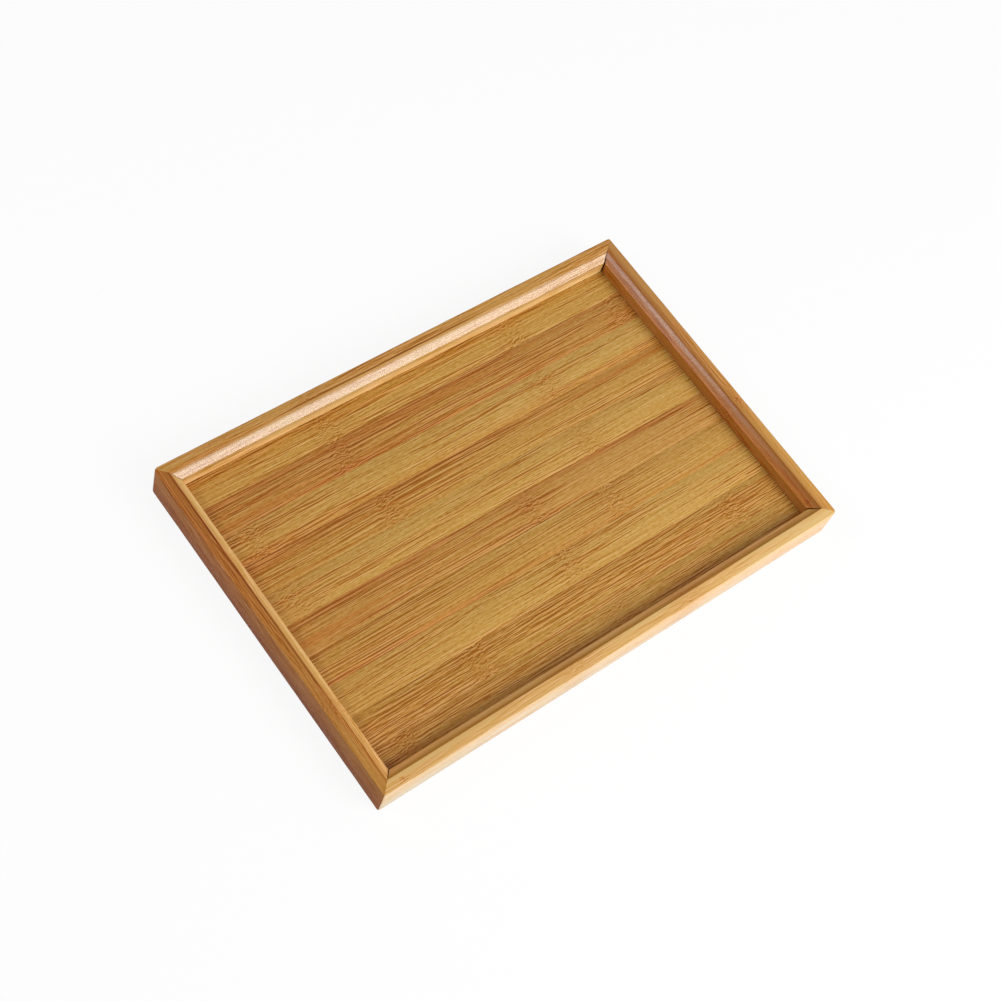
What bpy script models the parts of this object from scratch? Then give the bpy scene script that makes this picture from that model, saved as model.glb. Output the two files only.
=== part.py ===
"""A small bamboo serving tray: four mitred rails round a floor board of glued strips.

X runs along the long sides, +Y is the back and +Z is up. The origin is on the table,
under the middle of the tray. Lengths are in metres.
"""

import math

import bmesh
import bpy
from mathutils import Matrix, Vector

# Plan of the tray, over the outer edges of the rim
TRAY_LENGTH = 0.300
TRAY_WIDTH = 0.2036

# Heights, from the table up: the open space under the board, the board, the upright
# wall above it and the sloping cove that the wall ends in
BOARD_RISE = 0.0039
BOARD_THICKNESS = 0.005
WALL_HEIGHT = 0.0079
COVE_DROP = 0.0039

# Rail section, from the outer edge of the rim inwards
TOP_FLAT = 0.0061
COVE_RUN = 0.0047
COVE_HOLLOW = 0.00022
GROOVE_DEPTH = 0.0025

# Edges broken by sanding: along the rails, and at the four outer corners of the frame
EDGE_RADIUS = 0.0005
CORNER_RADIUS = 0.0016

# Floor board: the strips' full width, and where the joint nearest the middle lies
STRIP_WIDTH = 0.0189
MIDDLE_JOINT_Y = -0.0011
NARROWEST_STRIP = 0.006

# Clearances: across each mitre, and round the board's edge in the groove
MITRE_GAP = 0.0002
BOARD_FIT = 0.0002

# How far a guide or a blank runs past the surface that it cuts or is cut by
OVERRUN = 0.002

COVE_STEPS = 8
EDGE_STEPS = 4
CORNER_STEPS = 8
ROUND_PROFILE = 0.5
SMOOTH_BELOW = math.radians(30)

# Linear colours of the clear-finished wood
HONEY = (0.47, 0.25, 0.075)
GOLD = (0.45, 0.26, 0.075)
AMBER = (0.38, 0.19, 0.055)
TAN = (0.41, 0.22, 0.06)
WOOD_ROUGHNESS = 0.42

# The tones of the floor strips, from the back rail to the front one
STRIP_TONES = (GOLD, AMBER, GOLD, TAN, GOLD, AMBER, TAN, GOLD, TAN, TAN)

TRAY_HEIGHT = BOARD_RISE + BOARD_THICKNESS + WALL_HEIGHT + COVE_DROP
RAIL_WIDTH = TOP_FLAT + COVE_RUN
QUARTER_TURN = math.pi / 2


def clear_scene():
    for old in list(bpy.data.objects):
        bpy.data.objects.remove(old, do_unlink=True)


def wood(name, colour):
    material = bpy.data.materials.new(name)
    material.use_nodes = True
    shader = material.node_tree.nodes["Principled BSDF"]
    shader.inputs["Base Color"].default_value = (*colour, 1.0)
    shader.inputs["Roughness"].default_value = WOOD_ROUGHNESS
    shader.inputs["Metallic"].default_value = 0.0
    material.diffuse_color = (*colour, 1.0)
    return material


def add_object(name, shape):
    """Makes an object of a bmesh, and frees the bmesh."""
    bmesh.ops.recalc_face_normals(shape, faces=shape.faces)
    mesh = bpy.data.meshes.new(name)
    shape.to_mesh(mesh)
    shape.free()
    made = bpy.data.objects.new(name, mesh)
    bpy.context.collection.objects.link(made)
    return made


def eased(before, corner, after):
    """The small round that sanding leaves on a corner of the section."""
    corner = Vector(corner)
    legs = [(Vector(point) - corner).normalized() for point in (before, after)]
    half_angle = legs[0].angle(legs[1]) / 2
    centre = corner + (legs[0] + legs[1]).normalized() * EDGE_RADIUS / math.sin(half_angle)
    setback = EDGE_RADIUS / math.tan(half_angle)
    first, last = [corner + leg * setback - centre for leg in legs]
    turned = [first.slerp(last, step / EDGE_STEPS) for step in range(EDGE_STEPS + 1)]
    return [centre + spoke.normalized() * EDGE_RADIUS for spoke in turned]


def hollow(foot, rim, depth):
    """A shallow circular hollow in the section, from its foot up to the rim."""
    half_chord = (Vector(rim) - Vector(foot)) / 2
    along = half_chord.normalized()
    open_side = Vector((along.y, -along.x))
    radius = (half_chord.length_squared + depth**2) / (2 * depth)
    centre = Vector(foot) + half_chord + open_side * (radius - depth)
    half_turn = math.asin(half_chord.length / radius)
    angles = [half_turn * (2 * step / COVE_STEPS - 1) for step in range(COVE_STEPS + 1)]
    return [centre + (along * math.sin(a) - open_side * math.cos(a)) * radius for a in angles]


def rail_section():
    """Outline of the rail blank: distance in from the rim's outer edge, and height.

    The inner side is finished. The outer side, top and bottom are oversize, and the
    frame's outer shape cuts them back.
    """
    groove_floor = RAIL_WIDTH - GROOVE_DEPTH
    groove_low = BOARD_RISE - BOARD_FIT
    groove_high = BOARD_RISE + BOARD_THICKNESS + BOARD_FIT
    cove_foot = (RAIL_WIDTH, TRAY_HEIGHT - COVE_DROP)
    cove = hollow(cove_foot, (TOP_FLAT, TRAY_HEIGHT), COVE_HOLLOW)

    outline = [(-OVERRUN, -OVERRUN), (RAIL_WIDTH - EDGE_RADIUS, -OVERRUN)]
    # the inner bottom edge
    outline += eased((0, 0), (RAIL_WIDTH, 0), (RAIL_WIDTH, groove_low))
    # the groove that holds the board
    outline += [
        (RAIL_WIDTH, groove_low),
        (groove_floor, groove_low),
        (groove_floor, groove_high),
        (RAIL_WIDTH, groove_high),
    ]
    # the edge between the wall and the cove, then the cove
    outline += eased((RAIL_WIDTH, groove_high), cove_foot, cove[1])
    outline += cove[1:]
    outline += [(TOP_FLAT, TRAY_HEIGHT + OVERRUN), (-OVERRUN, TRAY_HEIGHT + OVERRUN)]
    return outline


def cut_mitre(shape, length, side):
    """Saws one end of a rail at 45 degrees, half the mitre gap short of the corner."""
    across = Vector((side, 1, 0)).normalized()
    corner = Vector((side * length / 2, 0, 0))
    cut = bmesh.ops.bisect_plane(
        shape,
        geom=shape.verts[:] + shape.edges[:] + shape.faces[:],
        plane_co=corner - across * (MITRE_GAP / 2),
        plane_no=across,
        clear_outer=True,
    )
    sawn = [e for e in cut["geom_cut"] if isinstance(e, bmesh.types.BMEdge)]
    bmesh.ops.edgeloop_fill(shape, edges=sawn)


def rail_blank(length):
    """A rail lying along X, its rim's outer edge over the X axis, +Y to the inside."""
    shape = bmesh.new()
    start = -length / 2 - OVERRUN
    corners = [shape.verts.new((start, inward, height)) for inward, height in rail_section()]
    end_face = shape.faces.new(corners)
    grown = bmesh.ops.extrude_face_region(shape, geom=[end_face])
    far_verts = [v for v in grown["geom"] if isinstance(v, bmesh.types.BMVert)]
    bmesh.ops.translate(shape, verts=far_verts, vec=(length + 2 * OVERRUN, 0, 0))
    cut_mitre(shape, length, 1)
    cut_mitre(shape, length, -1)
    return shape


def rise(edge):
    """How much higher one end of an edge lies than the other."""
    return abs(edge.verts[0].co.z - edge.verts[1].co.z)


def outer_shape_guide():
    """The outside of the sanded frame: rounded corners and broken edges."""
    shape = bmesh.new()
    size = Matrix.Diagonal((TRAY_LENGTH, TRAY_WIDTH, TRAY_HEIGHT, 1))
    middle = Matrix.Translation((0, 0, TRAY_HEIGHT / 2))
    bmesh.ops.create_cube(shape, size=1, matrix=middle @ size)

    corners = [e for e in shape.edges if rise(e) > EDGE_RADIUS]
    bmesh.ops.bevel(
        shape, geom=corners, offset=CORNER_RADIUS, segments=CORNER_STEPS,
        profile=ROUND_PROFILE, affect="EDGES", offset_type="OFFSET",
    )
    level = [e for e in shape.edges if rise(e) < EDGE_RADIUS]
    bmesh.ops.bevel(
        shape, geom=level, offset=EDGE_RADIUS, segments=EDGE_STEPS,
        profile=ROUND_PROFILE, affect="EDGES", offset_type="OFFSET",
    )
    guide = add_object("outer_shape_guide", shape)
    guide.hide_render = True
    guide.display_type = "WIRE"
    return guide


def rail(name, length, distance, turn, guide):
    """One finished rail, its outer edge this distance from the tray's middle."""
    made = add_object(name, rail_blank(length))
    made.rotation_euler = (0, 0, turn)
    made.location = Matrix.Rotation(turn, 3, "Z") @ Vector((0, -distance, 0))
    made.data.materials.append(wood(f"{name}_bamboo", HONEY))

    sanded = made.modifiers.new("outer_shape", "BOOLEAN")
    sanded.operation = "INTERSECT"
    sanded.solver = "EXACT"
    sanded.object = guide
    made.data.shade_smooth()
    made.data.set_sharp_from_angle(angle=SMOOTH_BELOW)
    return made


def strip_joints(back, front):
    """Where the glue joints cross the board, with its two edges, from back to front."""
    joints = [MIDDLE_JOINT_Y]
    while joints[0] + STRIP_WIDTH < back - NARROWEST_STRIP:
        joints.insert(0, joints[0] + STRIP_WIDTH)
    while joints[-1] - STRIP_WIDTH > front + NARROWEST_STRIP:
        joints.append(joints[-1] - STRIP_WIDTH)
    return [back, *joints, front]


def floor_strip(number, half_length, back, front):
    """One bamboo strip, planed flat, its two long edges glued to its neighbours'."""
    shape = bmesh.new()
    places = (
        (-half_length, front),
        (half_length, front),
        (half_length, back),
        (-half_length, back),
    )
    underside = shape.faces.new([shape.verts.new((x, y, 0)) for x, y in places])
    grown = bmesh.ops.extrude_face_region(shape, geom=[underside])
    top = [v for v in grown["geom"] if isinstance(v, bmesh.types.BMVert)]
    bmesh.ops.translate(shape, verts=top, vec=(0, 0, BOARD_THICKNESS))
    name = f"floor_strip_{number:02d}"
    made = add_object(name, shape)
    made.location.z = BOARD_RISE
    tone = STRIP_TONES[(number - 1) % len(STRIP_TONES)]
    made.data.materials.append(wood(f"{name}_bamboo", tone))
    return made


def frame():
    guide = outer_shape_guide()
    rail("rail_front", TRAY_LENGTH, TRAY_WIDTH / 2, 0, guide)
    rail("rail_right", TRAY_WIDTH, TRAY_LENGTH / 2, QUARTER_TURN, guide)
    rail("rail_back", TRAY_LENGTH, TRAY_WIDTH / 2, 2 * QUARTER_TURN, guide)
    rail("rail_left", TRAY_WIDTH, TRAY_LENGTH / 2, -QUARTER_TURN, guide)


def floor_board():
    groove_inset = RAIL_WIDTH - GROOVE_DEPTH + BOARD_FIT
    half_length = TRAY_LENGTH / 2 - groove_inset
    half_width = TRAY_WIDTH / 2 - groove_inset
    joints = strip_joints(half_width, -half_width)
    for number in range(1, len(joints)):
        floor_strip(number, half_length, joints[number - 1], joints[number])


clear_scene()
frame()
floor_board()
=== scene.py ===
"""Looks of a small bamboo serving tray: four mitred rails round a floor of glued strips.

X runs along the long sides, +Y is the back and +Z is up. Lengths are in metres, except
in the bamboo's patterns, which are laid out in millimetres.
"""

import math

import bmesh
import bpy
from mathutils import Matrix, Vector

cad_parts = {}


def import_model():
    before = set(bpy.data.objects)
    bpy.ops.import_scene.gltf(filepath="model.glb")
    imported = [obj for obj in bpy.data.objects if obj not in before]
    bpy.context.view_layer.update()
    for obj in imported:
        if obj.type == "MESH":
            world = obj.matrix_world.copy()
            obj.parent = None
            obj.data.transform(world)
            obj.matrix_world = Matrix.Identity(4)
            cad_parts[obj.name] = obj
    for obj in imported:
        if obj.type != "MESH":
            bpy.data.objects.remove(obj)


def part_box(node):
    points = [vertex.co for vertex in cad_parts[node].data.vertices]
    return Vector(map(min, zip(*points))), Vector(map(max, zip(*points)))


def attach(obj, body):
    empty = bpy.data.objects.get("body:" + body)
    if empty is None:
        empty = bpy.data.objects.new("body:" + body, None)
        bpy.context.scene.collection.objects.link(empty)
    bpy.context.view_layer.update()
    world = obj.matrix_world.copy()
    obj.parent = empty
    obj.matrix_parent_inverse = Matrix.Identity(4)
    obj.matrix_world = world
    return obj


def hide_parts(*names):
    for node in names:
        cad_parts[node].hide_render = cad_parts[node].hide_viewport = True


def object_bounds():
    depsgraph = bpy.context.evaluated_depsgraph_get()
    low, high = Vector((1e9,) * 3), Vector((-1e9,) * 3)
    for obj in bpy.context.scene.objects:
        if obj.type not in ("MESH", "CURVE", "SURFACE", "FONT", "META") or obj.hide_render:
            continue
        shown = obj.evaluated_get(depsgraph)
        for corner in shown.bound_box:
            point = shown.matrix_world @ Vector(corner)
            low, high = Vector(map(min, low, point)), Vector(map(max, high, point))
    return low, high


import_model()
cad_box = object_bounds()

# The tray, measured on the frame
HALF_LENGTH, HALF_WIDTH, TRAY_HEIGHT = cad_box[1]
WELL_HALF_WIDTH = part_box("rail_back")[0][1]
BOARD_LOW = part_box("floor_strip_01")[0][2]
BOARD_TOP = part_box("floor_strip_01")[1][2]
RAIL_WIDTH = HALF_WIDTH - WELL_HALF_WIDTH

# Rail section
COVE_RUN = 0.0047
COVE_DROP = 0.0039
COVE_HOLLOW = 0.00022
COVE_CUTTER_SIDES = 84
GROOVE_DEPTH = 0.0025
GROOVE_FIT = 0.0002

# Edges broken by sanding: along the rails, at the frame's corners, and along the strips
OUTER_EASE = 0.0005
LIP_EASE = 0.0005
RIM_INNER_EASE = 0.0003
EASE_STEPS = 4
CORNER_RADII = {
    "front_left": 0.0016,
    "front_right": 0.0026,
    "back_right": 0.0018,
    "back_left": 0.0028,
}
CORNER_STEPS = 10
STRIP_EASE = 0.00003
STRIP_EASE_STEPS = 2

# Mitres: tight nearly all across the flat of the rim, and opening from there to the inside
# of the frame, where the gap differs from corner to corner
MITRE_GAP = 0.00002
TIGHT_MITRE = 0.0055
INSIDE_GAPS = {
    "back_right": 0.00075,
    "front_right": 0.00070,
    "front_left": 0.00050,
    "back_left": 0.00012,
}

# Spare stock beyond a cut, and how near to a cut a corner of the mesh is moved onto it
STOCK = 0.002
CUTTER_OVERRUN = 4 * STOCK
SAW_SNAP = 0.0000001

# How long an edge along a piece is at least, how near to a place a corner of the mesh has
# to lie to count as being there, and how squarely a face has to look inwards
LONG_EDGE = 4 * RAIL_WIDTH
SAME_PLACE = 0.000125
LOOKING_IN = 0.9

# Unevenness left by sanding: the size of a dip, its greatest depth, and how many cuts
# across a long face let it follow the dips
SANDING_REACH = 0.012
SANDING_DEPTH = 0.00016
LENGTHWISE_CUTS = 60

# The camera, matched to the corners of the rim in the photograph
CAMERA_AZIMUTH = math.radians(-57.11)
CAMERA_ELEVATION = math.radians(58.89)
CAMERA_ROLL = math.radians(23.46)
CAMERA_AIM = (0.0040, 0.0042, 0)
CAMERA_DISTANCE = 1.0205
CAMERA_LENS = 69.41
CAMERA_SENSOR = 36

# The studio
WHITE = (1, 1, 1)
TABLE_COLOUR = (0.9, 0.9, 0.9)
TABLE_GLOW = 0.9
TABLE_SIZE = 6
ROOM_LIGHT = 0.36
WINDOW_DIRECTION = (0.305, -0.708, 0.627)
WINDOW_DISTANCE = 1.2
WINDOW_SIZE = 0.85
WINDOW_POWER = 13
FAR_LAMP_DIRECTION = (-0.70, 0.36, 0.68)
FAR_LAMP_DISTANCE = 1.2
FAR_LAMP_SIZE = 0.25
FAR_LAMP_POWER = 2.5

SMOOTH_BELOW = math.radians(30)
QUARTER_TURN = math.pi / 2


# Modelling by hand

SELECT_MODES = {"faces": "FACE", "edges": "EDGE", "verts": "VERT"}


def take(piece):
    """Makes a piece the only one selected."""
    bpy.ops.object.select_all(action="DESELECT")
    piece.select_set(True)
    bpy.context.view_layer.objects.active = piece


def edit(piece):
    take(piece)
    bpy.ops.object.mode_set(mode="EDIT")
    bpy.ops.mesh.select_mode(type="FACE")


def stop_editing():
    bpy.ops.object.mode_set(mode="OBJECT")


def keep_in_mesh():
    """Moves a piece's place, turn and size into its mesh."""
    bpy.ops.object.transform_apply(location=True, rotation=True, scale=True)


def block(name, low, high):
    """A block of wood between two corners, as the start of a piece."""
    low, high = Vector(low), Vector(high)
    bpy.ops.object.select_all(action="DESELECT")
    bpy.ops.mesh.primitive_cube_add(size=1, location=(low + high) / 2, scale=high - low)
    piece = bpy.context.object
    piece.name = name
    keep_in_mesh()
    return piece


def turn_round(piece, angle):
    """Turns a piece about the middle of the tray."""
    take(piece)
    piece.matrix_world = Matrix.Rotation(angle, 4, "Z") @ piece.matrix_world
    keep_in_mesh()


def pick(piece, kind, wanted):
    """Selects, in edit mode, only the faces, edges or verts that the test wants."""
    bpy.ops.mesh.select_mode(type=SELECT_MODES[kind])
    bpy.ops.mesh.select_all(action="DESELECT")
    shape = bmesh.from_edit_mesh(piece.data)
    for part in getattr(shape, kind):
        part.select_set(bool(wanted(part)))
    bmesh.update_edit_mesh(piece.data)


def saw(point, normal, keep_both=False):
    """Saws the whole piece along a plane, in edit mode, and takes off the far side."""
    bpy.ops.mesh.select_all(action="SELECT")
    bpy.ops.mesh.bisect(
        plane_co=point,
        plane_no=normal,
        clear_outer=not keep_both,
        use_fill=not keep_both,
        threshold=SAW_SNAP,
    )


def boolean(piece, tool, operation):
    """Shapes a piece with a tool, and throws the tool away."""
    take(piece)
    cut = piece.modifiers.new("cut", "BOOLEAN")
    cut.operation = operation
    cut.solver = "EXACT"
    cut.object = tool
    bpy.ops.object.modifier_apply(modifier=cut.name)
    bpy.data.objects.remove(tool, do_unlink=True)


def runs_along(edge):
    """Whether an edge runs along a rail or a strip that lies along X."""
    return abs(edge.verts[0].co.x - edge.verts[1].co.x) > LONG_EDGE


def even_out(piece):
    """Divides the long faces, so that none is a sliver and a rail's can dip where it is sanded."""
    pick(piece, "edges", runs_along)
    bpy.ops.mesh.subdivide(number_cuts=LENGTHWISE_CUTS)


# Rails

def upright_at(edge, back, right):
    """Whether this is the sharp upright edge at one corner of the frame."""
    low, high = sorted((v.co for v in edge.verts), key=lambda place: place.z)
    upright = high.z - low.z > TRAY_HEIGHT / 2
    outermost = abs(high.x) > HALF_LENGTH - OUTER_EASE / 2
    outermost = outermost and abs(high.y) > HALF_WIDTH - OUTER_EASE / 2
    return upright and outermost and (high.y > 0) == back and (high.x > 0) == right


def is_level(edge):
    return abs(edge.verts[0].co.z - edge.verts[1].co.z) < OUTER_EASE


def frame_envelope():
    """The outside of the sanded frame: rounded corners and broken edges."""
    low = (-HALF_LENGTH, -HALF_WIDTH, 0)
    high = (HALF_LENGTH, HALF_WIDTH, TRAY_HEIGHT)
    solid = block("envelope", low, high)
    edit(solid)
    for corner, radius in CORNER_RADII.items():
        back, right = corner.startswith("back"), corner.endswith("right")
        pick(solid, "edges", lambda e: upright_at(e, back, right))
        bpy.ops.mesh.bevel(offset=radius, segments=CORNER_STEPS, affect="EDGES")
    pick(solid, "edges", is_level)
    bpy.ops.mesh.bevel(offset=OUTER_EASE, segments=EASE_STEPS, affect="EDGES")
    stop_editing()
    return solid


def cove_cutter(length, outer_y):
    """A long round cutter whose side leaves the shallow cove along a front rail."""
    rim = Vector((0, outer_y + RAIL_WIDTH - COVE_RUN, TRAY_HEIGHT))
    foot = Vector((0, outer_y + RAIL_WIDTH, TRAY_HEIGHT - COVE_DROP))
    half_chord = (rim - foot).length / 2
    radius = (half_chord**2 + COVE_HOLLOW**2) / (2 * COVE_HOLLOW)
    open_side = Vector((0, COVE_DROP, COVE_RUN)).normalized()
    centre = (rim + foot) / 2 + open_side * (radius - COVE_HOLLOW)
    bpy.ops.object.select_all(action="DESELECT")
    bpy.ops.mesh.primitive_cylinder_add(
        vertices=COVE_CUTTER_SIDES, radius=radius, depth=length + CUTTER_OVERRUN
    )
    cutter = bpy.context.object
    # one of its corners points at the middle of the cove, so that no narrow facet is left
    spin = math.atan2(-COVE_RUN, -COVE_DROP)
    lying = Matrix.Rotation(QUARTER_TURN, 4, "Y") @ Matrix.Rotation(spin, 4, "Z")
    cutter.matrix_world = Matrix.Translation(centre) @ lying
    return cutter


def cut_groove(piece):
    """Cuts the groove for the board into the inner side of a front rail, in edit mode."""
    low, high = BOARD_LOW - GROOVE_FIT, BOARD_TOP + GROOVE_FIT
    for height in (low, high):
        saw((0, 0, height), (0, 0, 1), keep_both=True)

    def at_board(face):
        return face.normal.y > LOOKING_IN and low < face.calc_center_median().z < high

    pick(piece, "faces", at_board)
    bpy.ops.mesh.extrude_region_shrink_fatten(
        TRANSFORM_OT_shrink_fatten={"value": -GROOVE_DEPTH}
    )


def cut_mitre(half_length, distance, side, inside_gap):
    """Saws one end: tight from the outer corner to the cove, and from there opening inwards."""
    across = Vector((side, 1, 0)).normalized()
    # the way along the mitre, as long as it takes to get one metre inwards
    along = Vector((-side, 1, 0)).normalized() * math.sqrt(2)
    corner = Vector((side * half_length, -distance, 0))
    saw(corner - across * MITRE_GAP / 2, across)
    hinge = corner + along * TIGHT_MITRE - across * MITRE_GAP / 2
    inside = corner + along * RAIL_WIDTH - across * inside_gap / 2
    opening = (inside - hinge).normalized()
    saw(hinge, Vector((opening.y, -opening.x, 0)) * side)


def ease_long_edge(piece, y, z, width):
    """Rounds the edge along the rail that lies at this place in its section."""

    def at_place(vert):
        return abs(vert.co.y - y) < SAME_PLACE and abs(vert.co.z - z) < SAME_PLACE

    pick(piece, "edges", lambda e: runs_along(e) and all(at_place(v) for v in e.verts))
    bpy.ops.mesh.bevel(offset=width, segments=EASE_STEPS, affect="EDGES")


def at_mitre(vert):
    """Whether a corner of the mesh lies on the sawn end of a rail."""
    off = abs(abs(vert.co.x) - abs(vert.co.y) - (HALF_LENGTH - HALF_WIDTH))
    return off < max(INSIDE_GAPS.values())


def sand_by_hand(piece):
    """Lets the surface dip a little here and there, but leaves the mitres as they were sawn."""
    edit(piece)
    pick(piece, "verts", lambda v: not at_mitre(v))
    bpy.ops.object.vertex_group_assign_new()
    stop_editing()
    dips = bpy.data.textures.new(f"{piece.name}_dips", "CLOUDS")
    dips.noise_scale = SANDING_REACH
    sanding = piece.modifiers.new("sanding", "DISPLACE")
    sanding.texture = dips
    sanding.texture_coords = "LOCAL"
    sanding.mid_level = 1
    sanding.strength = SANDING_DEPTH
    sanding.vertex_group = piece.vertex_groups[0].name
    bpy.ops.object.modifier_apply(modifier=sanding.name)


def rail(name, node, half_length, distance, turn, corners):
    """One mitred rail. It is shaped as a front rail and then turned to its side.

    corners names the frame's corners at the two ends of the rail, +X end first.
    """
    inner_y = RAIL_WIDTH - distance
    low = (-half_length - STOCK, -distance - STOCK, -STOCK)
    high = (half_length + STOCK, inner_y, TRAY_HEIGHT + STOCK)
    piece = block(name, low, high)
    boolean(piece, cove_cutter(2 * half_length, -distance), "DIFFERENCE")
    edit(piece)
    cut_groove(piece)
    stop_editing()

    # sanded to the frame's outer shape at its own side of the tray
    turn_round(piece, turn)
    boolean(piece, frame_envelope(), "INTERSECT")
    turn_round(piece, -turn)

    edit(piece)
    for side, corner in zip((1, -1), corners):
        cut_mitre(half_length, distance, side, INSIDE_GAPS[corner])
    ease_long_edge(piece, inner_y, TRAY_HEIGHT - COVE_DROP, LIP_EASE)
    ease_long_edge(piece, inner_y - COVE_RUN, TRAY_HEIGHT, RIM_INNER_EASE)
    ease_long_edge(piece, inner_y, 0, OUTER_EASE)
    even_out(piece)
    stop_editing()

    turn_round(piece, turn)
    sand_by_hand(piece)
    bpy.ops.object.shade_smooth_by_angle(angle=SMOOTH_BELOW)
    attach(piece, "root")
    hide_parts(node)
    return piece


# Floor strips

def strip(number):
    """One strip of the board, its long edges just broken where it meets its neighbours."""
    node = f"floor_strip_{number:02d}"
    piece = block(f"bamboo_strip_{number:02d}", *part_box(node))
    edit(piece)
    pick(piece, "edges", runs_along)
    bpy.ops.mesh.bevel(offset=STRIP_EASE, segments=STRIP_EASE_STEPS, affect="EDGES")
    even_out(piece)
    stop_editing()
    bpy.ops.object.shade_smooth_by_angle(angle=SMOOTH_BELOW)
    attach(piece, "root")
    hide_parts(node)
    return piece


# Bamboo

# Millimetres in a metre, and the value that a noise varies about
MILLIMETRES = 1000
MIDDLE = 0.5

# The Mix node's sockets where it mixes colours, by their numbers
MIX_SHARE, MIX_FIRST, MIX_SECOND = 0, 6, 7
MIX_RESULT = 2


class Value:
    """A number that varies over a surface. A sum written with it adds Math nodes."""

    def __init__(self, tree, socket):
        self.tree = tree
        self.socket = socket

    def worked(self, operation, first, second=0):
        return self.tree.add("ShaderNodeMath", {"operation": operation}, {0: first, 1: second})

    def __add__(self, other):
        return self.worked("ADD", self, other)

    def __radd__(self, other):
        return self.worked("ADD", other, self)

    def __sub__(self, other):
        return self.worked("SUBTRACT", self, other)

    def __rsub__(self, other):
        return self.worked("SUBTRACT", other, self)

    def __mul__(self, other):
        return self.worked("MULTIPLY", self, other)

    def __rmul__(self, other):
        return self.worked("MULTIPLY", other, self)

    def __pow__(self, other):
        return self.worked("POWER", self, other)

    def __abs__(self):
        return self.worked("ABSOLUTE", self)

    def most(self, other):
        return self.worked("MAXIMUM", self, other)

    def rise(self, low, high):
        """0 where the value is at low and 1 where it is at high, with a smooth way between."""
        return self.tree.add(
            "ShaderNodeMapRange",
            {"interpolation_type": "SMOOTHSTEP"},
            {"Value": self, "From Min": low, "From Max": high},
        )

    def past(self, edge, blend):
        """Rises at an edge of the piece, between the two distances from it that blend gives."""
        return self.rise(edge + blend[0], edge + blend[1])

    def within(self, size, blend):
        """1 inside a size and 0 outside it, between the two shares of it that blend gives."""
        return self.rise(size * blend[0], size * blend[1])


class Tree:
    """The nodes of a material or of the world, and the one way to add to them."""

    def __init__(self, owner):
        owner.use_nodes = True
        self.owner = owner
        self.nodes = owner.node_tree.nodes
        self.links = owner.node_tree.links

    def feed(self, socket, value):
        """Links a value to a socket, or sets the socket to a plain number or colour."""
        if isinstance(value, Value):
            self.links.new(value.socket, socket)
        elif socket.type == "RGBA":
            socket.default_value = (*value, 1)
        else:
            socket.default_value = value

    def add(self, kind, settings=None, sockets=None, output=0):
        """Adds a node of this type, with its settings made before its sockets are fed."""
        node = self.nodes.new(kind)
        for setting, value in (settings or {}).items():
            setattr(node, setting, value)
        for socket, value in (sockets or {}).items():
            self.feed(node.inputs[socket], value)
        return Value(self, node.outputs[output])

    def place(self):
        """Where a point of the piece is, in millimetres along X, Y and Z."""
        metres = self.add("ShaderNodeTexCoord", output="Object")
        split = self.add("ShaderNodeSeparateXYZ", None, {0: metres}).socket.node
        return [Value(self, split.outputs[axis]) * MILLIMETRES for axis in "XYZ"]

    def noise(self, a, b, c, detail=1.0, roughness=0.5):
        vector = self.add("ShaderNodeCombineXYZ", None, {0: a, 1: b, 2: c})
        return self.add(
            "ShaderNodeTexNoise",
            None,
            {"Vector": vector, "Scale": 1, "Detail": detail, "Roughness": roughness},
        )

    def mix(self, first, second, share, how="MIX"):
        """Two colours mixed, or the second laid over the first in another way."""
        return self.add(
            "ShaderNodeMix",
            {"data_type": "RGBA", "blend_type": how},
            {MIX_SHARE: share, MIX_FIRST: first, MIX_SECOND: second},
            MIX_RESULT,
        )

    def stain(self, colour, tint, share):
        return self.mix(colour, tint, share, "MULTIPLY")


# The parts of the grain: how often each repeats per millimetre along the fibres and across
# them, and a shift of its own that keeps it apart from the others
PATTERNS = {
    "bend": (0.014, 0.10, 0),
    "turn": (0.18, 0.38, 5),
    "patch": (0.011, 0.19, 11),
    "fibre": (0.034, 0.9, 23),
    "curl": (0.34, 0.9, 31),
    "thin": (0.013, 1.6, 43),
    "band": (0.0055, 0.26, 57),
    "fleck": (0.36, 1.5, 83),
}

# A streak's detail and raggedness, and how far apart the dark and the light one of a pair
# lie, as a share of the fibres' pitch
STREAK_DETAIL = 1.4
STREAK_RAGGEDNESS = 0.8
STREAK_SHIFT = 0.42

# How far the fibres drift sideways, in millimetres
DRIFT = 1.2

# A knuckle: how far it sways and how often, where its outer part and its heart end and are
# full, how far its fibres turn, and how far curled fibres take over in its heart
KNUCKLE_SWAY = 9
KNUCKLE_SWAY_PITCH = 0.22
KNUCKLE_REACH = (17.0, 3.0)
HEART_REACH = (8.5, 2.0)
KNUCKLE_TURN = 1.9
CURL_SHARE = 0.9
CURL_CONTRAST = 0.95

# Where clear stretches give way to crowded ones, and how strongly the fibres show on each,
# in a knuckle, and as short flecks
CROWDED = (0.37, 0.63)
CROWDING_SHARE = 0.5
CLEAR_CONTRAST = 2.6
CROWDED_CONTRAST = 12.4
KNUCKLE_CONTRAST = 2.2
FLECK_CONTRAST = 2.0
THIN_FIBRES = (0.60, 0.70)
THIN_DETAIL = 0.5

# What each kind of mark does to the colour of the bamboo that it crosses
FIBRE_TINT = (0.645, 0.475, 0.09)
SHINE_TINT = (1.25, 1.41, 2.45)
SHADE_TINT = (1.0, 0.885, 0.77)
DEEP_TINT = (0.80, 0.60, 0.35)
RED_TINT = (0.97, 0.81, 0.68)
KNUCKLE_TINT = (0.91, 0.79, 0.69)
HALO_TINT = (1.03, 1.04, 1.06)

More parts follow.
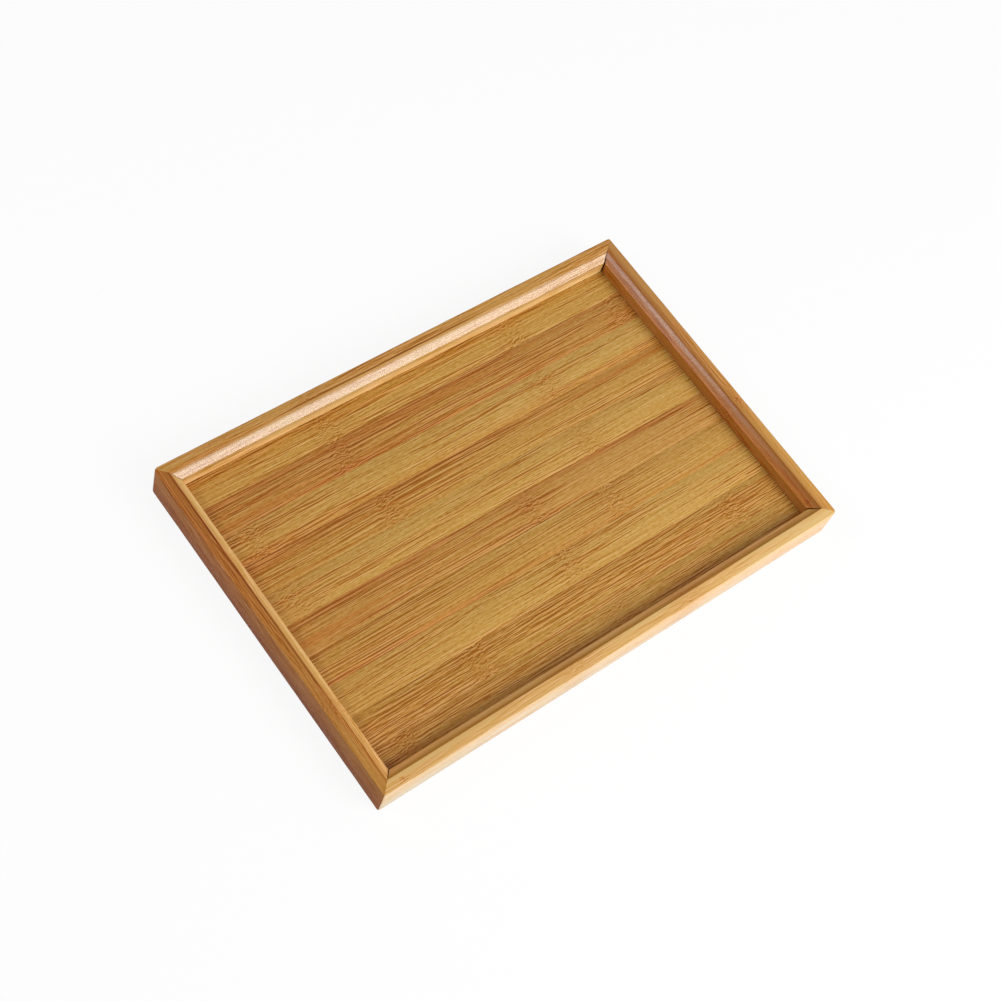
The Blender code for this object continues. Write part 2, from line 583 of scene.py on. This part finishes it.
# How the marks are weighed, and between which strengths of them those tints set in
FIBRE_MIDDLE = 0.53
PATCH_DARKENING = 0.03
DARK_FIBRES = (0.65, -0.65)
LIGHT_FIBRES = (0.35, 1.65)
RED_BANDS = (0.62, 0.76)
KNUCKLE_STAIN = 0.45
THIN_IN_CLEAR = 0.4
THIN_IN_CROWDED = 0.6


def at_pitch(pattern, x, across, depth, seed):
    """A place in the bamboo, scaled to how often one part of the grain repeats."""
    lengthwise, crosswise, shift = PATTERNS[pattern]
    return x * lengthwise, across * crosswise, depth * crosswise + (seed + shift)


def streaks(wood, pattern, x, across, depth, seed):
    """Long marks, each dark one with a light one beside it; 0 on the whole."""
    x, across, depth = at_pitch(pattern, x, across, depth, seed)
    near = wood.noise(x, across, depth, STREAK_DETAIL, STREAK_RAGGEDNESS)
    beside = wood.noise(x, across + STREAK_SHIFT, depth, STREAK_DETAIL, STREAK_RAGGEDNESS)
    return near - beside


def cross_knuckles(wood, x, across, depth, seed, knuckles):
    """How near a place is to a knuckle, and to its heart. A knuckle crosses in a wandering line."""
    wander = wood.noise(seed, across * KNUCKLE_SWAY_PITCH, depth * KNUCKLE_SWAY_PITCH)
    sway = (wander - MIDDLE) * KNUCKLE_SWAY
    offsets = [abs(x - place - sway) for place in knuckles]
    knuckle, heart = offsets[0].rise(*KNUCKLE_REACH), offsets[0].rise(*HEART_REACH)
    for off in offsets[1:]:
        knuckle = knuckle.most(off.rise(*KNUCKLE_REACH))
        heart = heart.most(off.rise(*HEART_REACH))
    return knuckle, heart


def grain(wood, x, across, depth, seed, knuckles, crowding=0, run=1.0):
    """How strongly each kind of mark in the bamboo shows at a place.

    x runs with the fibres, across and depth lie square to them, all in millimetres.
    Crowding makes clear stretches rarer, and a higher run makes shorter marks.
    """
    bend = wood.noise(*at_pitch("bend", x, across, depth, seed))
    bent = across + (bend - MIDDLE) * DRIFT

    # the fibres break up and turn at a knuckle
    knuckle, heart = cross_knuckles(wood, x, across, depth, seed, knuckles)
    turn = wood.noise(*at_pitch("turn", x, bent, depth, seed))
    bent = bent + knuckle * (turn - MIDDLE) * KNUCKLE_TURN

    patch = wood.noise(*at_pitch("patch", x, bent, depth, seed)) + crowding * CROWDING_SHARE
    patch = patch.rise(*CROWDED)
    fibre = streaks(wood, "fibre", x * run, bent, depth, seed)
    curl = streaks(wood, "curl", x, bent, depth, seed)
    fibre = fibre + heart * CURL_SHARE * (curl * CURL_CONTRAST - fibre)
    fleck = wood.noise(*at_pitch("fleck", x, bent, depth, seed))
    contrast = CLEAR_CONTRAST + patch * CROWDED_CONTRAST + knuckle * KNUCKLE_CONTRAST
    thin = wood.noise(*at_pitch("thin", x, bent, depth, seed), THIN_DETAIL)
    return {
        "fibre": fibre * contrast + (fleck - MIDDLE) * FLECK_CONTRAST + MIDDLE,
        "thin": thin.rise(*THIN_FIBRES),
        "band": wood.noise(*at_pitch("band", x, bent, depth, seed)),
        "patch": patch,
        "knuckle": knuckle,
    }


def lay_grain(wood, colour, marks, crowding, redness, strength):
    """Darkens and lightens the bamboo's ground colour by its marks."""
    fibre = (marks["fibre"] - MIDDLE) * strength + FIBRE_MIDDLE
    fibre = fibre - crowding - marks["patch"] * PATCH_DARKENING
    thin = marks["thin"] * (marks["patch"] * THIN_IN_CROWDED + THIN_IN_CLEAR) * strength
    colour = wood.stain(colour, RED_TINT, marks["band"].past(-redness, RED_BANDS))
    colour = wood.stain(colour, SHADE_TINT, marks["patch"])
    colour = wood.stain(colour, KNUCKLE_TINT, marks["knuckle"] * KNUCKLE_STAIN)
    colour = wood.stain(colour, FIBRE_TINT, fibre.rise(*DARK_FIBRES))
    colour = wood.stain(colour, SHINE_TINT, fibre.rise(*LIGHT_FIBRES))
    return wood.stain(colour, DEEP_TINT, thin)


def finish_surface(wood, colour, roughness, height, depth_of_relief):
    """Feeds the clear-finished surface: its colour, its gloss and the fine relief of the fibres."""
    shader = wood.nodes["Principled BSDF"]
    wood.feed(shader.inputs["Base Color"], colour)
    wood.feed(shader.inputs["Roughness"], roughness)
    relief = wood.add(
        "ShaderNodeBump", None, {"Strength": 1.0, "Distance": depth_of_relief, "Height": height}
    )
    wood.feed(shader.inputs["Normal"], relief)
    return shader


# Bamboo of the floor strips

# Their ground tones
STRIP_GROUNDS = {
    "floor_bamboo_gold": (0.515, 0.285, 0.055),
    "floor_bamboo_amber": (0.475, 0.238, 0.045),
    "floor_bamboo_tan": (0.495, 0.264, 0.050),
}

# For each strip from the back: its slot, where its knuckles are, how crowded its fibres
# are, how much they thin out towards the right, how far the reddish bands spread, which
# of its edges is redder (1 back, -1 front), and how short its fibres are
STRIP_LOOKS = (
    ("floor_bamboo_gold", (-55, 67), 0.02, 0.02, 0.00, 0, 1.1),
    ("floor_bamboo_amber", (-58, 131), 0.06, 0.08, 0.14, 0, 0.9),
    ("floor_bamboo_gold", (65, -124), -0.04, 0.17, -0.04, -1, 1.2),
    ("floor_bamboo_tan", (-54,), 0.13, 0.18, 0.06, 1, 0.8),
    ("floor_bamboo_gold", (-125, 63), -0.10, 0.03, -0.06, 0, 1.0),
    ("floor_bamboo_amber", (11,), 0.00, 0.20, 0.04, 1, 0.55),
    ("floor_bamboo_tan", (53,), 0.05, 0.14, 0.02, -1, 0.6),
    ("floor_bamboo_gold", (9,), -0.03, 0.15, -0.06, 0, 1.3),
    ("floor_bamboo_tan", (-64, 108), 0.16, 0.09, 0.04, 0, 1.5),
    # the front strip's redder front edge is painted warm bounce light in the front rail's shadow
    ("floor_bamboo_tan", (14, -121), 0.00, 0.00, 0.02, -1, 1.0),
)
STRIP_SEED_STEP = 13.7
STRIP_GRAIN = 1.02

# Between which places along the board the fibres thin out, and where the whole floor is
# painted darker towards its left end, a painted shade for the lamp's light falling off there
THINNING_SPAN = (-20, 45)
LEFT_END_SPAN = (-40, -150)
LEFT_END_PAINTED_SHADE = (0.955, 0.90, 0.87)

# A redder edge, which on the front strip is painted warm bounce light in the front rail's
# shadow: where it ends and is full in from the edge, its waver, and its strength
RED_EDGE_REACH = (5.5, 1.0)
RED_EDGE_WAVER = 6
RED_EDGE_STRENGTH = 0.8

# The clear finish: its roughness, what the fibres do to it, their relief, and the shine
STRIP_ROUGHNESS = 0.46
STRIP_FIBRE_GLOSS = 0.08
STRIP_RELIEF = 0.00002
STRIP_SPECULAR = 0.25


def strip_bamboo(number, low_y, high_y):
    """The bamboo of one floor strip, between its front and back edges in millimetres."""
    slot, knuckles, crowding, thinning, redness, red_edge, run = STRIP_LOOKS[number - 1]
    wood = Tree(bpy.data.materials.new(f"strip_{number:02d}_bamboo"))
    x, y, z = wood.place()
    crowding = crowding - x.rise(*THINNING_SPAN) * thinning
    marks = grain(wood, x, y, z, STRIP_SEED_STEP * number, knuckles, crowding, run)
    colour = lay_grain(wood, STRIP_GROUNDS[slot], marks, crowding, redness, STRIP_GRAIN)
    # a redder edge; on the front strip, measured from its visible edge, it is painted warm bounce
    # light in the front rail's shadow
    if red_edge:
        edge = high_y if red_edge > 0 else max(low_y, -WELL_HALF_WIDTH * MILLIMETRES)
        off = abs(y - edge + (marks["band"] - MIDDLE) * RED_EDGE_WAVER)
        colour = wood.stain(colour, RED_TINT, off.rise(*RED_EDGE_REACH) * RED_EDGE_STRENGTH)
    # painted shade: the floor darker towards its left end, where the lamp's light falls off
    colour = wood.stain(colour, LEFT_END_PAINTED_SHADE, x.rise(*LEFT_END_SPAN))
    roughness = STRIP_ROUGHNESS - marks["fibre"] * STRIP_FIBRE_GLOSS
    shader = finish_surface(wood, colour, roughness, marks["fibre"], STRIP_RELIEF)
    shader.inputs["Specular IOR Level"].default_value = STRIP_SPECULAR
    return wood.owner, slot


# Bamboo of the rails

# The section in millimetres: the rim's height, the cove's foot, and how far in from the
# outer face the flat and the whole rail reach
TOP = TRAY_HEIGHT * MILLIMETRES
COVE_FOOT = (TRAY_HEIGHT - COVE_DROP) * MILLIMETRES
FLAT = (RAIL_WIDTH - COVE_RUN) * MILLIMETRES
WALL = RAIL_WIDTH * MILLIMETRES

# Colours where the moulding cuts through the bamboo: the flat of the rim, the cove and the
# wall under it from top to foot, and the outer face; and what the flat, the cove and the
# outer face turn to at the far end of the rail (right or back). The cove's darker top and
# lighter foot are painted shade and light, the back wall's paler foot is painted bounce
# light from the board, the outer face's darker foot is painted shade near the table, and
# the cove's whiter far end is a painted highlight.
RAIL_TONES = {
    "front": {
        "flat": (0.655, 0.42, 0.150),
        "flat_far": (1.09, 1.13, 1.20),
        "cove": (0.47, 0.205, 0.030),
        "cove_foot": (0.66, 0.355, 0.096),
        "cove_far": (1.03, 1.16, 1.45),
        "wall": (0.55, 0.30, 0.08),
        "wall_foot": (0.55, 0.30, 0.08),
        "outer": (0.775, 0.615, 0.385),
        "outer_foot": (0.725, 0.60, 0.41),
        "outer_far": (1.03, 0.93, 0.87),
    },
    "right": {
        "flat": (0.60, 0.325, 0.082),
        "flat_far": (0.81, 0.70, 0.72),
        "cove": (0.36, 0.13, 0.022),
        "cove_foot": (0.41, 0.155, 0.030),
        "cove_far": (1, 1, 1),
        "wall": (0.50, 0.215, 0.040),
        "wall_foot": (0.50, 0.215, 0.045),
        "outer": (0.50, 0.24, 0.06),
        "outer_foot": (0.46, 0.21, 0.05),
        "outer_far": (0.81, 0.70, 0.72),
    },
    "back": {
        "flat": (0.535, 0.275, 0.062),
        "flat_far": (1.07, 1.08, 1.05),
        "cove": (0.48, 0.27, 0.078),
        "cove_foot": (0.52, 0.295, 0.090),
        "cove_far": (1.12, 1.18, 1.30),
        "wall": (0.61, 0.40, 0.14),
        "wall_foot": (0.92, 0.63, 0.25),
        "outer": (0.50, 0.26, 0.07),
        "outer_foot": (0.47, 0.24, 0.06),
        "outer_far": (1.07, 1.08, 1.05),
    },
    "left": {
        "flat": (0.455, 0.208, 0.040),
        "flat_far": (0.86, 0.69, 0.60),
        "cove": (0.62, 0.345, 0.10),
        "cove_foot": (0.76, 0.47, 0.165),
        "cove_far": (1.02, 1.06, 1.12),
        "wall": (0.60, 0.33, 0.10),
        "wall_foot": (0.58, 0.31, 0.09),
        "outer": (0.39, 0.162, 0.0425),
        "outer_foot": (0.307, 0.090, 0.011),
        "outer_far": (1.12, 1.10, 1.0),
    },
}

# What the flat turns to towards its inner edge, and the painted highlight on the wall's eased lip
INNER_TINTS = {
    "front": (0.985, 0.97, 0.96),
    "right": (0.82, 0.745, 0.70),
    "left": (0.97, 0.93, 0.90),
}
LIP_HIGHLIGHT_TINTS = {"right": (1.3, 1.22, 1.1)}

# Where the cove turns from its top tone to its foot's, in from the flat: its steep top is
# painted in shade and its foot painted lighter
COVE_FADES = {"front": (0.2, 3.4), "right": (0.8, 3.7), "back": (0.8, 3.7), "left": (0.8, 3.7)}

# Between which distances from an edge of the moulding one tone gives way to the next
RIM_BLEND = (-0.7, -0.1)
INNER_BLEND = (-3.2, -0.8)
COVE_BLEND = (-0.25, 0.15)
COVE_FOOT_BLEND = (-0.3, 0)
WALL_BLEND = (-0.5, -0.1)
WALL_TOP_BLEND = (0.2, -0.4)
LIP_BLEND = (-0.7, -0.35)
LIP_REACH = (0.5, 0.15)
COVE_WAVER = 0.5
OUTER_MARGIN = 2

# How strongly the grain shows on the flat and on the rest of a rail, how short the fibres
# are, and where each rail's knuckles are, from its middle
FLAT_GRAIN = {"front": 0.2, "right": 0.30, "back": 0.6, "left": 0.6}
OTHER_GRAIN = {"front": 0.12, "right": 0.33, "back": 0.33, "left": 0.33}
RAIL_RUN = 1.5
RAIL_KNUCKLES = {"front": (-31, 44), "right": (-19,), "back": (-58,), "left": (-52,)}
RAIL_SEEDS = {"front": 40, "right": 69, "back": 98, "left": 127}

# The corners at the low and the high end of each rail, along X or Y; what glue and the
# painted shade of the open gap do to the wood there, how far they reach in from the cut,
# and between which distances in the mitre stands open
RAIL_ENDS = {
    "front": ("front_left", "front_right"),
    "right": ("front_right", "back_right"),
    "back": ("back_left", "back_right"),
    "left": ("front_left", "back_left"),
}
GLUE_AND_GAP_SHADE_TINT = (0.30, 0.20, 0.13)
GLUE_AND_SHADE_REACH = (0.24, 0.08)
OPEN_MITRE = (5.7, 6.9)

# Dark fibres that run along the flat: how far in from the outer edge, from where to
# where along the rail, half their width, and how dark
LINE_TINT = (0.56, 0.39, 0.24)
RAIL_LINES = {
    "front": (),
    "right": ((5.4, 40, 95, 0.16, 0.25),),
    "back": ((5.25, -75, 50, 0.34, 1.0), (2.2, -120, 10, 0.14, 0.35), (3.6, -60, 90, 0.12, 0.3)),
    "left": ((5.3, -45, 96, 0.28, 0.9), (3.9, -80, 90, 0.14, 0.35), (2.3, -60, 70, 0.14, 0.35)),
}

# How far they wander and how often, less where they lie near the cove; how softly their
# sides, their ends and their lower edge fade
LINE_WANDER = 1.2
LINE_WANDER_PITCH = 0.02
NEAR_COVE = 5
NEAR_COVE_SHARE = 0.4
LINE_SIDES = (2.0, 0.7)
LINE_START = (-12, 12)
LINE_END = (12, -12)
LINE_DEPTH = (-1.2, -0.4)

# Small knots: place along the rail, how far in from the outer edge, and radius
RAIL_KNOTS = {
    "front": ((-137, 2.4, 1.5),),
    "right": ((-19, 2.9, 1.6), (-88, 8.6, 1.5)),
    "back": (),
    "left": (),
}

# A knot's halo, its face and its dark dots: where each ends and is full, in radii
KNOT_HALO = (2, 1.2)
KNOT_FACE = (1.0, 0.3)
KNOT_DOTS = (1.4, 0.9)
KNOT_WAVER = 0.8
DOT_PITCH = 0.9
DOT_SHIFT = 70
DOTS = (0.50, 0.62)

# The clear finish: its roughness, what the grit under it and the fibres do to it, its
# relief and its shine, and how fine the grit is along and across the rail
RAIL_ROUGHNESS = 0.34
GRIT_ROUGHNESS = 0.16
RAIL_FIBRE_GLOSS = 0.04
RAIL_RELIEF = 0.0001
RAIL_SPECULAR = 0.02
GRIT_PITCH = (2.0, 2.6)
GRIT_DETAIL = 2.0
GRIT_RAGGEDNESS = 0.75

# How much clear lacquer lies on the flat and on the cove, how far in from the flat it
# starts and is full on the cove, between which places along the right rail it thickens,
# and the pores that break it up
FLAT_LACQUER = 0.25
COAT_ROUGHNESS = {"front": 0.18, "right": 0.25, "back": 0.18, "left": 0.18}
COAT_IOR = {"front": 1.5, "right": 1.55, "back": 1.62, "left": 1.5}
COVE_LACQUER = {"front": 0.4, "right": 0.68, "back": 0.92, "left": 0.4}
COVE_LACQUER_BLEND = {
    "front": (0.0, 0.3),
    "right": (0.2, 1.2),
    "back": (0.2, 1.8),
    "left": (0.0, 0.3),
}
LACQUER_THICKENS = {"right": (-150, 60)}
PORE_PITCH = (3.2, 3.6)
PORE_SHIFT = 9
PORES = (0.38, 0.62)
THINNEST_AT_PORE = 0.5


class RailPlace:
    """Where a point of a rail is, in millimetres, and whether it lies on the rim and the cove."""

    def __init__(self, wood, side):
        x, y, self.up = wood.place()
        self.side = side
        if side in ("front", "back"):
            self.along, self.half_length = x, HALF_LENGTH * MILLIMETRES
            square, reach = y, HALF_WIDTH * MILLIMETRES
        else:
            self.along, self.half_length = y, HALF_WIDTH * MILLIMETRES
            square, reach = x, HALF_LENGTH * MILLIMETRES
        self.inward = square + reach if side in ("front", "left") else reach - square
        self.far = self.along.rise(-self.half_length, self.half_length)
        self.seed = RAIL_SEEDS[side]
        self.marks = grain(
            wood, self.along, self.inward, self.up, self.seed, RAIL_KNUCKLES[side], run=RAIL_RUN
        )
        waver = (self.marks["band"] - MIDDLE) * COVE_WAVER
        self.on_rim = self.up.past(TOP, RIM_BLEND)
        self.on_cove = (self.inward + waver).past(FLAT, COVE_BLEND)
        self.on_cove = self.on_cove * self.up.past(COVE_FOOT, COVE_FOOT_BLEND)


def moulding_colour(wood, at):
    """The tones that the moulding cuts through: outer face, flat, cove, wall and lip, with painted
    shade, bounce light and highlights laid on them.
    """
    tones = RAIL_TONES[at.side]
    # painted shade and light: the cove darker at its steep top and lighter towards its foot
    cove = wood.mix(tones["cove"], tones["cove_foot"], at.inward.past(FLAT, COVE_FADES[at.side]))
    # painted highlight: the cove whiter towards the far end of the rail
    cove = wood.stain(cove, tones["cove_far"], at.far)
    # painted bounce light: the back wall paler towards its foot, lit by the board
    wall_height = at.up.rise(BOARD_TOP * MILLIMETRES, COVE_FOOT)
    wall = wood.mix(tones["wall_foot"], tones["wall"], wall_height)
    # painted shade: the outer face mostly darker towards its foot, near the table
    outer_height = at.up.rise(OUTER_MARGIN, TOP - OUTER_MARGIN)
    outer = wood.mix(tones["outer_foot"], tones["outer"], outer_height)
    outer = wood.stain(outer, tones["outer_far"], at.far)
    flat = wood.stain(tones["flat"], tones["flat_far"], at.far)
    colour = wood.mix(outer, flat, at.on_rim)
    if at.side in INNER_TINTS:
        colour = wood.stain(colour, INNER_TINTS[at.side], at.inward.past(FLAT, INNER_BLEND))
    colour = wood.mix(colour, cove, at.on_cove)
    on_wall = at.inward.past(WALL, WALL_BLEND) * at.up.past(COVE_FOOT, WALL_TOP_BLEND)
    colour = wood.mix(colour, wall, on_wall)

    flat_grain, other_grain = FLAT_GRAIN[at.side], OTHER_GRAIN[at.side]
    on_flat = at.on_rim * (1 - at.on_cove)
    strength = other_grain + on_flat * (flat_grain - other_grain)
    colour = lay_grain(wood, colour, at.marks, 0, 0, strength)
    # painted highlight along the eased lip
    if at.side in LIP_HIGHLIGHT_TINTS:
        on_lip = at.inward.past(WALL, LIP_BLEND) * abs(at.up - COVE_FOOT).rise(*LIP_REACH)
        colour = wood.stain(colour, LIP_HIGHLIGHT_TINTS[at.side], on_lip)
    return colour


def darken_open_mitres(wood, colour, at):
    """Darkens the sawn ends where a mitre stands open: glue, and painted shade inside the gap."""
    tight = TIGHT_MITRE * MILLIMETRES
    to_corner = at.half_length - abs(at.along) - at.inward
    openness = (at.inward - tight).most(0) * (1 / (WALL - tight))
    # half of a gap falls to each rail, and is longer along the rail than square to the mitre
    low, high = [INSIDE_GAPS[corner] * MILLIMETRES / math.sqrt(2) for corner in RAIL_ENDS[at.side]]
    from_cut = to_corner - openness * (low + (high - low) * at.along.rise(-1, 1))
    # glue and painted shade along the sides of the gap, where the mitre stands open
    glue_and_gap_shade = from_cut.rise(*GLUE_AND_SHADE_REACH) * at.inward.rise(*OPEN_MITRE)
    return wood.stain(colour, GLUE_AND_GAP_SHADE_TINT, glue_and_gap_shade)


def draw_lines(wood, colour, at):
    """Draws the long dark fibres along the flat."""
    wander = (wood.noise(at.along * LINE_WANDER_PITCH, 0, at.seed) - MIDDLE) * LINE_WANDER
    for inset, start, end, half_width, darkness in RAIL_LINES[at.side]:
        off = abs(at.inward - inset - wander * (NEAR_COVE_SHARE if inset > NEAR_COVE else 1))
        span = at.along.past(start, LINE_START) * at.along.past(end, LINE_END)
        dark = off.within(half_width, LINE_SIDES) * span * at.up.past(TOP, LINE_DEPTH)
        colour = wood.stain(colour, LINE_TINT, dark * darkness)
    return colour


def draw_knots(wood, colour, at):
    """Draws the small knots: a light halo, a darker face and dots round its edge."""
    for place, inset, radius in RAIL_KNOTS[at.side]:
        away = ((at.along - place) ** 2 + (at.inward - inset) ** 2) ** 0.5
        away = away + (at.marks["fibre"] - MIDDLE) * KNOT_WAVER
        dots = wood.noise(at.along * DOT_PITCH, at.inward * DOT_PITCH, at.seed + DOT_SHIFT, 0)
        colour = wood.stain(colour, HALO_TINT, away.within(radius, KNOT_HALO))
        colour = wood.stain(colour, KNUCKLE_TINT, away.within(radius, KNOT_FACE))
        colour = wood.stain(colour, DEEP_TINT, away.within(radius, KNOT_DOTS) * dots.rise(*DOTS))
    return colour


def lay_lacquer(wood, shader, at):
    """Lays clear lacquer on the flat, and more of it on the cove, broken up by pores."""
    shader.inputs["Coat Roughness"].default_value = COAT_ROUGHNESS[at.side]
    shader.inputs["Coat IOR"].default_value = COAT_IOR[at.side]
    lengthwise, crosswise = PORE_PITCH
    pores = wood.noise(
        at.along * lengthwise, at.inward * crosswise, at.up * crosswise + (at.seed + PORE_SHIFT)
    ).rise(*PORES)
    on_flat = FLAT_LACQUER * at.on_rim
    on_cove = COVE_LACQUER[at.side] * at.inward.past(FLAT, COVE_LACQUER_BLEND[at.side])
    on_cove = on_cove * (pores + THINNEST_AT_PORE)
    if at.side in LACQUER_THICKENS:
        on_cove = on_cove * at.along.rise(*LACQUER_THICKENS[at.side])
    wood.feed(shader.inputs["Coat Weight"], on_flat + at.on_cove * (on_cove - on_flat))


def rail_bamboo(side):
    """The bamboo of one rail, with the tones that its moulding cuts through, and painted light and
    shade on them.
    """
    wood = Tree(bpy.data.materials.new(f"{side}_rail_bamboo"))
    at = RailPlace(wood, side)
    colour = moulding_colour(wood, at)
    colour = darken_open_mitres(wood, colour, at)
    colour = draw_lines(wood, colour, at)
    colour = draw_knots(wood, colour, at)

    lengthwise, crosswise = GRIT_PITCH
    grit = wood.noise(
        at.along * lengthwise, at.inward * crosswise, at.up * crosswise + at.seed,
        GRIT_DETAIL, GRIT_RAGGEDNESS,
    )
    roughness = RAIL_ROUGHNESS + (grit - MIDDLE) * GRIT_ROUGHNESS
    roughness = roughness - at.marks["fibre"] * RAIL_FIBRE_GLOSS
    shader = finish_surface(wood, colour, roughness, grit, RAIL_RELIEF)
    shader.inputs["Specular IOR Level"].default_value = RAIL_SPECULAR
    lay_lacquer(wood, shader, at)
    return wood.owner


# The studio

def area_lamp(name, direction, distance, size, power):
    """A soft square lamp that faces the tray."""
    data = bpy.data.lights.new(name, "AREA")
    data.shape = "SQUARE"
    data.size = size
    data.energy = power
    lamp = bpy.data.objects.new(name, data)
    bpy.context.collection.objects.link(lamp)
    towards = Vector(direction).normalized()
    lamp.location = towards * distance
    lamp.rotation_euler = towards.to_track_quat("Z", "Y").to_euler()


def camera():
    """The photograph's view: down on the tray from its front left corner, and rolled."""
    data = bpy.data.cameras.new("camera")
    data.lens = CAMERA_LENS
    data.sensor_width = CAMERA_SENSOR
    made = bpy.data.objects.new("camera", data)
    bpy.context.collection.objects.link(made)
    a, e = CAMERA_AZIMUTH, CAMERA_ELEVATION
    back = Vector((math.sin(a) * math.cos(e), -math.cos(a) * math.cos(e), math.sin(e)))
    right = Vector((math.cos(a), math.sin(a), 0))
    up = back.cross(right)
    rolled = right * math.cos(CAMERA_ROLL) + up * math.sin(CAMERA_ROLL)
    turned = Matrix((rolled, back.cross(rolled), back)).transposed().to_4x4()
    stand = Vector(CAMERA_AIM) + back * CAMERA_DISTANCE
    made.matrix_world = Matrix.Translation(stand) @ turned
    bpy.context.scene.camera = made


def seen_straight(tree):
    """1 where a ray from the camera, or one mirrored or let through, meets the surroundings."""
    rays = ["Is Camera Ray", "Is Glossy Ray", "Is Transmission Ray"]
    camera_ray, glossy, through = [tree.add("ShaderNodeLightPath", output=ray) for ray in rays]
    return camera_ray.most(glossy).most(through)


def studio_floor():
    """A white table. It looks nearly as white as the room, and still takes the tray's shadow."""
    bpy.ops.object.select_all(action="DESELECT")
    bpy.ops.mesh.primitive_plane_add(size=TABLE_SIZE)
    table = bpy.context.object
    table.name = "studio_floor"
    paper = Tree(bpy.data.materials.new("studio_white"))
    matt = paper.add("ShaderNodeBsdfDiffuse", None, {"Color": TABLE_COLOUR})
    glow = paper.add("ShaderNodeEmission", None, {"Color": WHITE, "Strength": 1.0})
    share = seen_straight(paper) * TABLE_GLOW
    both = paper.add("ShaderNodeMixShader", None, {0: share, 1: matt, 2: glow})
    paper.feed(paper.nodes["Material Output"].inputs["Surface"], both)
    table.data.materials.append(paper.owner)


def world():
    """White where it is seen, and an even soft light everywhere else."""
    room = Tree(bpy.data.worlds.new("white_room"))
    background = room.nodes["Background"]
    room.feed(background.inputs["Color"], WHITE)
    light = ROOM_LIGHT + seen_straight(room) * (1 - ROOM_LIGHT)
    room.feed(background.inputs["Strength"], light)
    bpy.context.scene.world = room.owner


# The rails: half the length of each, its outer face's distance from the middle of the tray,
# its turn from the front, and the corners at its ends, +X end first before it is turned
RAILS = {
    "front": (HALF_LENGTH, HALF_WIDTH, 0, ("front_right", "front_left")),
    "right": (HALF_WIDTH, HALF_LENGTH, QUARTER_TURN, ("back_right", "front_right")),
    "back": (HALF_LENGTH, HALF_WIDTH, 2 * QUARTER_TURN, ("back_left", "back_right")),
    "left": (HALF_WIDTH, HALF_LENGTH, -QUARTER_TURN, ("front_left", "back_left")),
}
for side, (half_length, distance, turn, corners) in RAILS.items():
    piece = rail(f"{side}_rail", f"rail_{side}", half_length, distance, turn, corners)
    piece.data.materials.append(rail_bamboo(side))

for number in range(1, len(STRIP_LOOKS) + 1):
    piece = strip(number)
    low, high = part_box(f"floor_strip_{number:02d}")
    bamboo, slot = strip_bamboo(number, low[1] * MILLIMETRES, high[1] * MILLIMETRES)
    piece.data.materials.append(bamboo)

studio_floor()
world()
area_lamp("window", WINDOW_DIRECTION, WINDOW_DISTANCE, WINDOW_SIZE, WINDOW_POWER)
area_lamp("far_lamp", FAR_LAMP_DIRECTION, FAR_LAMP_DISTANCE, FAR_LAMP_SIZE, FAR_LAMP_POWER)
camera()
bpy.context.scene.view_settings.view_transform = "Standard"
